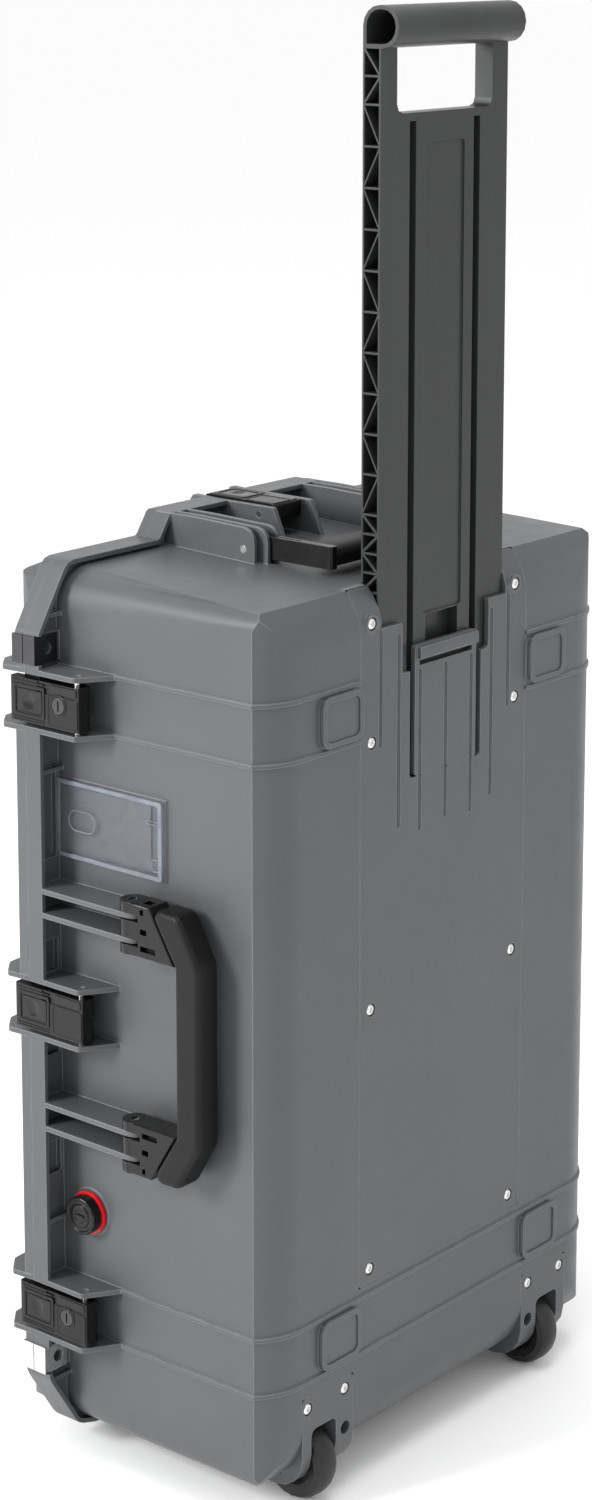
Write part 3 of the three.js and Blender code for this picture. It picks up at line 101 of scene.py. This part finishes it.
def bump(tree, shader, height, strength, distance, edge):
    """Fine surface relief on top of softened edges; gives back the softened normal."""
    node = tree.nodes.new("ShaderNodeBump")
    node.inputs["Strength"].default_value = strength
    node.inputs["Distance"].default_value = distance
    tree.links.new(height, node.inputs["Height"])
    tree.links.new(node.outputs["Normal"], shader.inputs["Normal"])
    soft = tree.nodes.new("ShaderNodeBevel")
    soft.samples = 5
    soft.inputs["Radius"].default_value = edge
    tree.links.new(soft.outputs["Normal"], node.inputs["Normal"])
    return soft.outputs["Normal"]


def edge_highlight_mask(tree, soft, grain):
    """0 on flat faces, 1 on edges: the mask of a painted highlight, where the softened normal leaves the
    face's own.
    """
    geometry = tree.nodes.new("ShaderNodeNewGeometry")
    dot = tree.nodes.new("ShaderNodeVectorMath")
    dot.operation = "DOT_PRODUCT"
    tree.links.new(soft, dot.inputs[0])
    tree.links.new(geometry.outputs["Normal"], dot.inputs[1])
    painted_highlight = spread(tree, dot.outputs["Value"], 1.0, 0.0, 0.9, 0.995)
    patchy = tree.nodes.new("ShaderNodeMath")
    patchy.operation = "MULTIPLY"
    tree.links.new(painted_highlight, patchy.inputs[0])
    tree.links.new(spread(tree, grain, 0.55, 1.0), patchy.inputs[1])
    return patchy.outputs["Value"]


def plastic(
    name, colour, rough, grain, strength, vary, edge=0.0007, stretch=None, gloss=0.4, highlight_lift=2.0,
):
    """A moulded plastic or rubber: mottled colour, uneven gloss, fine grain and a painted highlight that
    mixes the colour lighter along the edges.
    """
    mat, tree, shader = new_material(name)
    mid = noise(tree, 60.0, 6.0, 0.65)
    tree.links.new(spread(tree, mid, rough - 0.05, rough + 0.05), shader.inputs["Roughness"])
    soft = bump(tree, shader, noise(tree, grain, 2.0, 0.5), strength, 0.0002, edge)
    wide = noise(tree, 9.0, 5.0, 0.6, stretch)
    dark = tuple(c * (1 - vary) for c in colour)
    light = tuple(c * (1 + vary) for c in colour)
    mottled = blend_colours(tree, spread(tree, wide, 0, 1), dark, light)
    # Painted highlight along the edges: the colour is mixed towards a lighter one there, whatever the lamps
    # do.
    painted_highlight = tree.nodes.new("ShaderNodeMix")
    painted_highlight.data_type = "RGBA"
    painted_highlight.inputs["B"].default_value = (*(c * highlight_lift for c in colour), 1)
    tree.links.new(mottled, painted_highlight.inputs["A"])
    tree.links.new(edge_highlight_mask(tree, soft, mid), painted_highlight.inputs["Factor"])
    tree.links.new(painted_highlight.outputs["Result"], shader.inputs["Base Color"])
    shader.inputs["Specular IOR Level"].default_value = gloss
    return mat


def metal(name, colour, rough, edge=0.0003):
    """A steel part: uneven tone and faint lines along it."""
    mat, tree, shader = new_material(name)
    shader.inputs["Metallic"].default_value = 1.0
    wide = noise(tree, 120.0, 5.0, 0.6)
    dark = tuple(c * 0.88 for c in colour)
    tree.links.new(blend_colours(tree, spread(tree, wide, 0, 1), dark, colour), shader.inputs["Base Color"])
    lines = noise(tree, 900.0, 3.0, 0.6, (1.0, 1.0, 0.08))
    tree.links.new(spread(tree, lines, rough - 0.06, rough + 0.1), shader.inputs["Roughness"])
    bump(tree, shader, lines, 0.08, 0.0001, edge)
    return mat


def clear(name, solidity):
    """See-through plastic, a little cloudy and slightly uneven."""
    mat, tree, shader = new_material(name)
    wide = noise(tree, 150.0, 4.0, 0.6)
    cloudy = blend_colours(tree, spread(tree, wide, 0, 1), (0.16, 0.18, 0.21), (0.3, 0.33, 0.38))
    tree.links.new(cloudy, shader.inputs["Base Color"])
    shader.inputs["Alpha"].default_value = solidity
    shader.inputs["Specular IOR Level"].default_value = 0.3
    tree.links.new(spread(tree, wide, 0.06, 0.2), shader.inputs["Roughness"])
    bump(tree, shader, wide, 0.12, 0.0003, 0.0005)
    return mat


# Every plastic gets a painted highlight along its edges; the last number of each entry sets how much lighter
# those edges are painted.
LOOKS = {
    "case_resin": plastic(
        "case_resin", (0.066, 0.0705, 0.075), 0.4, grain=1500.0, strength=0.16, vary=0.05, edge=0.0012,
        gloss=0.38, highlight_lift=3.4,
    ),
    "black_plastic": plastic(
        "black_plastic", (0.004, 0.004, 0.0042), 0.27, grain=1900.0, strength=0.12, vary=0.15, edge=0.0007,
        gloss=0.26, highlight_lift=7.0,
    ),
    "beam_plastic": plastic(
        "beam_plastic", (0.022, 0.023, 0.023), 0.36, grain=700.0, strength=0.14, vary=0.25, edge=0.0006,
        stretch=(1, 1, 0.14), gloss=0.34, highlight_lift=3.0,
    ),
    "button_plastic": plastic(
        "button_plastic", (0.004, 0.004, 0.0042), 0.22, grain=2500.0, strength=0.06, vary=0.1, edge=0.0006,
        gloss=0.3, highlight_lift=7.0,
    ),
    "grip_rubber": plastic(
        "grip_rubber", (0.0035, 0.0035, 0.0037), 0.46, grain=1100.0, strength=0.3, vary=0.15, edge=0.001,
        gloss=0.2, highlight_lift=4.0,
    ),
    "seal_rubber": plastic("seal_rubber", (0.006, 0.006, 0.006), 0.7, grain=900.0, strength=0.3, vary=0.1),
    "tyre_rubber": plastic(
        "tyre_rubber", (0.009, 0.009, 0.0095), 0.45, grain=1000.0, strength=0.3, vary=0.2, edge=0.001,
        gloss=0.35, highlight_lift=3.0,
    ),
    "hub_plastic": plastic("hub_plastic", (0.01, 0.01, 0.01), 0.35, grain=1500.0, strength=0.12, vary=0.1),
    "red_plastic": plastic(
        "red_plastic", (0.5, 0.008, 0.014), 0.28, grain=1800.0, strength=0.06, vary=0.08, edge=0.0006,
        gloss=0.4, highlight_lift=1.4,
    ),
    "bright_steel": metal("bright_steel", (0.72, 0.72, 0.71), 0.2),
    "dark_steel": metal("dark_steel", (0.07, 0.07, 0.073), 0.3),
    "clear_plastic": clear("clear_plastic", 0.05),
    "clear_rim": clear("clear_rim", 0.4),
}
OWN_LOOK = {"trolley_handle": "beam_plastic"}
SLOT = {part["node"]: part["material_slot"] for part in frame["record"]["subparts"]}


def dress(obj, slot_name):
    obj.data.materials.clear()
    obj.data.materials.append(LOOKS[slot_name])


# ---------- the CAD nodes ----------
SPLIT_ANGLE = math.radians(33)
WELD_DISTANCE = 0.00001


def finish_node(name, node):
    dress(node, OWN_LOOK.get(name, SLOT[name]))
    for face in node.data.polygons:
        face.use_smooth = True
    weld = node.modifiers.new("weld", "WELD")
    weld.merge_threshold = WELD_DISTANCE
    split = node.modifiers.new("split", "EDGE_SPLIT")
    split.split_angle = SPLIT_ANGLE
    shade = node.modifiers.new("shade", "WEIGHTED_NORMAL")
    shade.weight = 90


for node_name, cad in NODES.items():
    finish_node(node_name, cad)


# ---------- added pieces ----------
def make_object(name, mesh, body, slot_name, matrix):
    """A piece in its material that rides a body."""
    obj = bpy.data.objects.new(name, mesh)
    SCENE.collection.objects.link(obj)
    mesh.transform(matrix)
    dress(obj, slot_name)
    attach(obj, body)
    return obj


def soften(obj, width, segments=2, angle=30):
    """Round the edges by width millimetres and shade the piece smoothly."""
    for face in obj.data.polygons:
        face.use_smooth = True
    edge = obj.modifiers.new("edge", "BEVEL")
    edge.width = width * MM
    edge.segments = segments
    edge.limit_method = "ANGLE"
    edge.angle_limit = math.radians(angle)
    edge.use_clamp_overlap = False
    shade = obj.modifiers.new("shade", "WEIGHTED_NORMAL")
    shade.weight = 80


def lathe(profile, sides, axis, shape):
    """A turned mesh about Y or X on a profile of (radius, height) in millimetres.

    shape(ring, angle) scales the radius, for sockets and knurls.
    """
    mesh = bpy.data.meshes.new("turned")
    bm = bmesh.new()
    rings = []
    for k, (radius, height) in enumerate(profile):
        ring = []
        for i in range(sides):
            angle = 2 * math.pi * i / sides
            r = radius * shape(k, angle)
            a, b = r * math.cos(angle), r * math.sin(angle)
            spot = (a, height, b) if axis == "Y" else (height, a, b)
            ring.append(bm.verts.new(Vector(spot) * MM))
        rings.append(ring)
    for low, high in zip(rings, rings[1:]):
        for i in range(sides):
            j = (i + 1) % sides
            bm.faces.new((low[i], low[j], high[j], high[i]))
    bm.faces.new(rings[0][::-1])
    bm.faces.new(rings[-1])
    bmesh.ops.recalc_face_normals(bm, faces=bm.faces)
    bm.to_mesh(mesh)
    bm.free()
    return mesh


def rounded(u0, u1, v0, v1, radius, steps=5):
    """A rectangle's outline with round corners."""
    points = []
    for cu, cv, start in (
        (u1 - radius, v1 - radius, 0), (u0 + radius, v1 - radius, 90),
        (u0 + radius, v0 + radius, 180), (u1 - radius, v0 + radius, 270),
    ):
        for k in range(steps + 1):
            angle = math.radians(start + 90 * k / steps)
            points.append((cu + radius * math.cos(angle), cv + radius * math.sin(angle)))
    return points


def prism(points, low, high, plane, inner=None):
    """A straight-sided solid on an outline in millimetres, or a ring when an inner outline is given."""
    mesh = bpy.data.meshes.new("prism")
    bm = bmesh.new()

    def spot(u, v, w):
        order = {"XZ": (u, w, v), "YZ": (w, u, v), "XY": (u, v, w)}[plane]
        return bm.verts.new(Vector(order) * MM)

    bottom = [spot(u, v, low) for u, v in points]
    top = [spot(u, v, high) for u, v in points]
    count = len(points)
    for i in range(count):
        j = (i + 1) % count
        bm.faces.new((bottom[i], bottom[j], top[j], top[i]))
    if inner is None:
        bm.faces.new(bottom[::-1])
        bm.faces.new(top)
    else:
        low_in = [spot(u, v, low) for u, v in inner]
        top_in = [spot(u, v, high) for u, v in inner]
        for i in range(count):
            j = (i + 1) % count
            bm.faces.new((low_in[j], low_in[i], top_in[i], top_in[j]))
            bm.faces.new((top[i], top[j], top_in[j], top_in[i]))
            bm.faces.new((bottom[j], bottom[i], low_in[i], low_in[j]))
    bmesh.ops.recalc_face_normals(bm, faces=bm.faces)
    bm.to_mesh(mesh)
    bm.free()
    return mesh


def move(x, y, z):
    return Matrix.Translation(at(x, y, z))


SIDES = ((1, "latch_side"), (-1, "hinge_side"))
UPPER_ROW, CENTRE_ROW, LOWER_ROW = 616.5, 374, 129.5

# ---------- raised rims on the four back pads ----------
PAD_IN, PAD_OUT, PAD_HALF, PAD_RIM = 104.6, 152, 19.5, 4.5
PAD_RIM_LOW, PAD_RIM_HIGH = 2.6, 4.6
for row, z in (("upper", UPPER_ROW), ("lower", LOWER_ROW)):
    for side, name in SIDES:
        a, b = sorted((side * PAD_IN, side * PAD_OUT))
        inner_half = PAD_HALF - PAD_RIM
        outer = rounded(a, b, z - PAD_HALF, z + PAD_HALF, 8)
        inner = rounded(a + PAD_RIM, b - PAD_RIM, z - inner_half, z + inner_half, 5)
        rim = make_object(
            f"pad_rim_{row}_{name}", prism(outer, PAD_RIM_LOW, PAD_RIM_HIGH, "XZ", inner),
            "base", "case_resin", Matrix.Translation(SHIFT),
        )
        soften(rim, 0.8, 3)

# ---------- screws with a hexagonal socket ----------
SCREW_PROFILE = [(1.8, -12.0), (1.8, -2.3), (4.6, -2.3), (4.6, -1.3), (3.6, -0.3), (2.2, 0.0), (2.0, -1.4)]
SOCKET_RING = 5
PANEL_SCREW_X = 89.7
PANEL_SCREW_ROWS = (680.7, 589.6, 380.7, 171.7)
BRACKET_SCREW_X = (163.4, 119.3)
BRACKET_SCREW_Z = 84.5


def hex_socket(k, angle):
    if k < SOCKET_RING:
        return 1.0
    return math.cos(math.pi / 6) / math.cos(angle % (math.pi / 3) - math.pi / 6)


SCREWS = {}
for i, (x, z) in enumerate((s * PANEL_SCREW_X, z) for z in PANEL_SCREW_ROWS for s in (1, -1)):
    SCREWS[f"panel_screw_{i + 1}"] = (x, z)
for side, name in SIDES:
    for i, x in enumerate(BRACKET_SCREW_X):
        SCREWS[f"bracket_screw_{name}_{i + 1}"] = (side * x, BRACKET_SCREW_Z)
for name, (x, z) in SCREWS.items():
    head = make_object(
        f"{name}_detailed", lathe(SCREW_PROFILE, 24, "Y", hex_socket), "base", "bright_steel", move(x, 0, z),
    )
    soften(head, 0.15, 1, 40)
    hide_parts(name)


# ---------- latches: raised rims, grip ridges and the label plate ----------
LATCH_X, LATCH_Y, TOP_LATCH_Z = 231, -168, 732
LATCH_SPOT = {
    "upper_latch": (LATCH_X, LATCH_Y, UPPER_ROW),
    "centre_latch": (LATCH_X, LATCH_Y, CENTRE_ROW),
    "lower_latch": (LATCH_X, LATCH_Y, LOWER_ROW),
    "top_latch": (0, LATCH_Y, TOP_LATCH_Z),
}
FACE = 8.0  # latch face above its pivot
SUNK = FACE - 0.4  # rims start this far up, just inside the latch
BUTTON_OUT = rounded(-59.5, -26.2, -12.4, 12.4, 2)
BUTTON_IN = rounded(-56.4, -28.2, -10.2, 10.2, 1.5)
LABEL = rounded(-21, 6, 9.4, 15.8, 1.2)
PANEL_OUT = rounded(-23, 7.4, -15.8, 7.6, 2.2)
PANEL_IN = rounded(-22, 6.4, -14.8, 6.6, 1.6)
RIDGES = (-15.9, -13.9, 14.2)
RIDGE_HALF = 0.6
KEY_CENTRE = (-12, 1)
KEY_RIM_OUT, KEY_RIM_IN = 8.4, 6.9


def latch_piece(latch, name, points, low, high, slot_name, inner=None, edge=0.25):
    """A low plate on a latch's face; points are (along, across) from the latch's pivot, in millimetres."""
    turn = latch == "top_latch"
    if turn:
        points = [(-v, u) for u, v in points]
        inner = inner and [(-v, u) for u, v in inner]
    plane = "XY" if turn else "YZ"
    mesh = prism(points, low, high, plane, inner)
    piece = make_object(f"{latch}_{name}", mesh, latch, slot_name, move(*LATCH_SPOT[latch]))
    soften(piece, edge)


def circle(centre, radius, sides=32):
    turns = [math.tau * k / sides for k in range(sides)]
    return [(centre[0] + radius * math.cos(a), centre[1] + radius * math.sin(a)) for a in turns]


for latch in LATCH_SPOT:
    latch_piece(latch, "button_rim", BUTTON_OUT, SUNK, FACE + 0.7, "black_plastic", BUTTON_IN)
    for i, v in enumerate(RIDGES):
        ridge = rounded(-60, -27, v - RIDGE_HALF, v + RIDGE_HALF, 0.5)
        latch_piece(latch, f"ridge_{i + 1}", ridge, SUNK, FACE + 0.6, "black_plastic")
    latch_piece(latch, "label_plate", LABEL, FACE - 1.2, FACE - 0.1, "button_plastic")
    latch_piece(latch, "face_rim", PANEL_OUT, SUNK, FACE + 0.35, "black_plastic", PANEL_IN)
for latch in ("upper_latch", "lower_latch"):
    ring, hole = circle(KEY_CENTRE, KEY_RIM_OUT), circle(KEY_CENTRE, KEY_RIM_IN)
    latch_piece(latch, "key_rim", ring, SUNK, FACE + 0.5, "black_plastic", hole, 0.2)

# ---------- pressure valve cap ----------
CAP_SPOT = (215.4, -180, 208.5)
CAP_PROFILE = [
    (7, 0), (15.3, 0), (15.3, 6.8), (14.8, 7.9), (13.6, 8.4), (12.6, 8.2), (12.1, 7.3),
    (9.6, 7.3), (9.2, 8.3), (8.6, 8.7), (5.4, 8.7), (5.1, 7.9), (0.6, 7.9),
]
KNURLS = 14
KNURL_DEPTH = 0.03
KNURLED_RINGS = (1, 2, 3)


def knurl(k, angle):
    if k not in KNURLED_RINGS:
        return 1.0
    return 1.0 - KNURL_DEPTH * max(0.0, math.cos(KNURLS * angle))


cap = make_object(
    "valve_cap_detailed", lathe(CAP_PROFILE, 84, "X", knurl), "valve_knob", "black_plastic", move(*CAP_SPOT),
)
soften(cap, 0.25, 2, 35)
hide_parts("valve_cap")
bar_points = rounded(-4.6, 4.6, -1.1, 1.1, 1.0)
bar = make_object(
    "valve_cap_bar", prism(bar_points, 7.6, 9.2, "YZ"), "valve_knob", "black_plastic", move(*CAP_SPOT),
)
soften(bar, 0.3)

# ---------- card holder ----------
CARD_SPOT = (0, -153, 522)
CARD_FACE, RIM_TOP, MARK_TOP = 214.2, 215.4, 215.1
for name, points, inner in (
    ("rim", rounded(-54, 54, -30.5, 30.5, 2.5), rounded(-50.5, 50.5, -27, 27, 1.5)),
    ("thumb_rim", rounded(-42, -14, -8.5, 8.5, 8), rounded(-40.8, -15.2, -7.3, 7.3, 6.8)),
    ("clip_upper", rounded(38, 53, 12, 15, 1.4), rounded(39, 52, 12.8, 14.2, 0.6)),
    ("clip_lower", rounded(44, 51, -24, -14, 1.4), rounded(45, 50, -23, -15, 0.6)),
):
    top = RIM_TOP if name == "rim" else MARK_TOP
    mesh = prism(points, CARD_FACE, top, "YZ", inner)
    card = make_object(f"card_holder_{name}", mesh, "base", "clear_rim", move(*CARD_SPOT))
    soften(card, 0.3)


# ---------- stage ----------
def plain(name, colour, rough):
    mat, tree, shader = new_material(name)
    shader.inputs["Base Color"].default_value = (*colour, 1)
    tree.links.new(spread(tree, noise(tree, 3.0), rough - 0.03, rough + 0.03), shader.inputs["Roughness"])
    return mat


FLOOR_HALF = 30
floor_mesh = bpy.data.meshes.new("floor")
floor_corners = [(x * FLOOR_HALF, y * FLOOR_HALF, 0) for x, y in ((-1, -1), (1, -1), (1, 1), (-1, 1))]
floor_mesh.from_pydata(floor_corners, [], [(0, 1, 2, 3)])
floor = bpy.data.objects.new("floor", floor_mesh)
SCENE.collection.objects.link(floor)
floor_mesh.materials.append(plain("floor_paint", (0.97, 0.97, 0.97), 0.75))

world = bpy.data.worlds.new("studio")
world.use_nodes = True
world.node_tree.nodes["Background"].inputs["Color"].default_value = (1.0, 1.0, 1.0, 1)
world.node_tree.nodes["Background"].inputs["Strength"].default_value = 1.0
SCENE.world = world


def area_light(name, place, aim, size, power):
    light = bpy.data.lights.new(name, "AREA")
    light.shape = "RECTANGLE"
    light.size, light.size_y = size
    light.energy = power
    lamp = bpy.data.objects.new(name, light)
    lamp.location = place
    lamp.rotation_euler = (Vector(aim) - Vector(place)).to_track_quat("-Z", "Y").to_euler()
    SCENE.collection.objects.link(lamp)


area_light("key", (3.2, -1.3, 2.0), (0, 0, 0.5), (0.9, 1.4), 150)
area_light("fill", (-0.6, 3.2, 1.7), (0, 0, 0.5), (0.5, 2.2), 8)
area_light("top", (0.2, 0.4, 3.0), (0, 0, 0.4), (1.2, 1.2), 30)

# ---------- camera ----------
CAMERA_SPOT = (1809.255, 1377.5, 1204.027)
AZIMUTH, ELEVATION = math.radians(130.178), math.radians(10.101)
SENSOR = 36
FOCAL_SHARE = 3053.996 / 1500  # focal length as a share of the picture's height
camera_data = bpy.data.cameras.new("camera")
camera_data.lens = FOCAL_SHARE * SENSOR
camera_data.shift_y = -0.2
camera_data.sensor_width = SENSOR
camera_data.clip_end = 100
camera = bpy.data.objects.new("camera", camera_data)
camera.location = at(*CAMERA_SPOT)
look = Vector((
    -math.sin(AZIMUTH) * math.cos(ELEVATION), math.cos(AZIMUTH) * math.cos(ELEVATION), -math.sin(ELEVATION),
))
camera.rotation_euler = look.to_track_quat("-Z", "Y").to_euler()
SCENE.collection.objects.link(camera)
SCENE.camera = camera
SCENE.view_settings.view_transform = "Standard"
